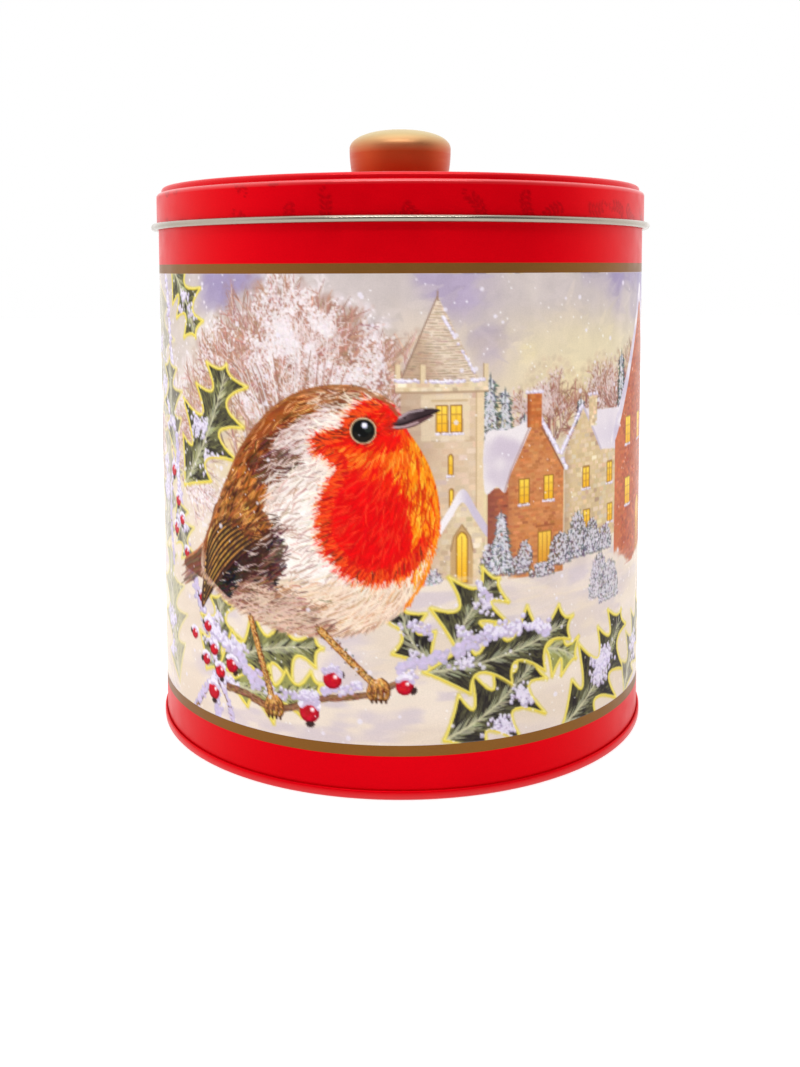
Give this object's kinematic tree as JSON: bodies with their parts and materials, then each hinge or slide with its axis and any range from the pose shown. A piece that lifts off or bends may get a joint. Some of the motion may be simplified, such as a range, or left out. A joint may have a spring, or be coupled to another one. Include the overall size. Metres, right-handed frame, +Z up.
{
  "type": "round biscuit tin",
  "caption": "Round pressed-tinplate storage tin with a seamed base, a slip-on lid with a rolled edge, and a round metal knob screwed to the lid.",
  "frame": {"origin": "centre of the base ring, on the surface that the tin stands on", "axes": "+Z up along the tin's axis, -Y towards the middle of the front picture, +X towards the side wall's lapped seam"},
  "size_m": [0.1648, 0.1648, 0.194],
  "materials": {
    "printed_wall": "glossy printed and varnished tinplate",
    "red_base": "glossy red lacquer over tinplate",
    "red_lid": "glossy red lacquer over tinplate, with a bare rolled edge",
    "pad_plastic": "translucent plastic washer",
    "knob_gold": "satin gold",
    "core_plastic": "moulded black plastic",
    "insert_brass": "turned brass",
    "zinc_steel": "zinc-plated steel"
  },
  "bodies": {
    "tin": {"body_wall": "printed_wall", "base_end": "red_base"},
    "lid": {"lid_cap": "red_lid"},
    "knob": {"knob_shell": "knob_gold", "knob_core": "core_plastic", "knob_insert": "insert_brass", "knob_pad": "pad_plastic", "knob_screw": "zinc_steel", "screw_washer": "zinc_steel"}
  },
  "joints": [
    {"name": "lid_lift", "type": "slide", "parent": "tin", "child": "lid", "axis": [0, 0, 1], "range_m": [0, 0.12]},
    {"name": "knob_turn", "type": "hinge", "parent": "lid", "child": "knob", "pos_m": [0, 0, 0.1734], "axis": [0, 0, 1], "continuous": true}
  ]
}
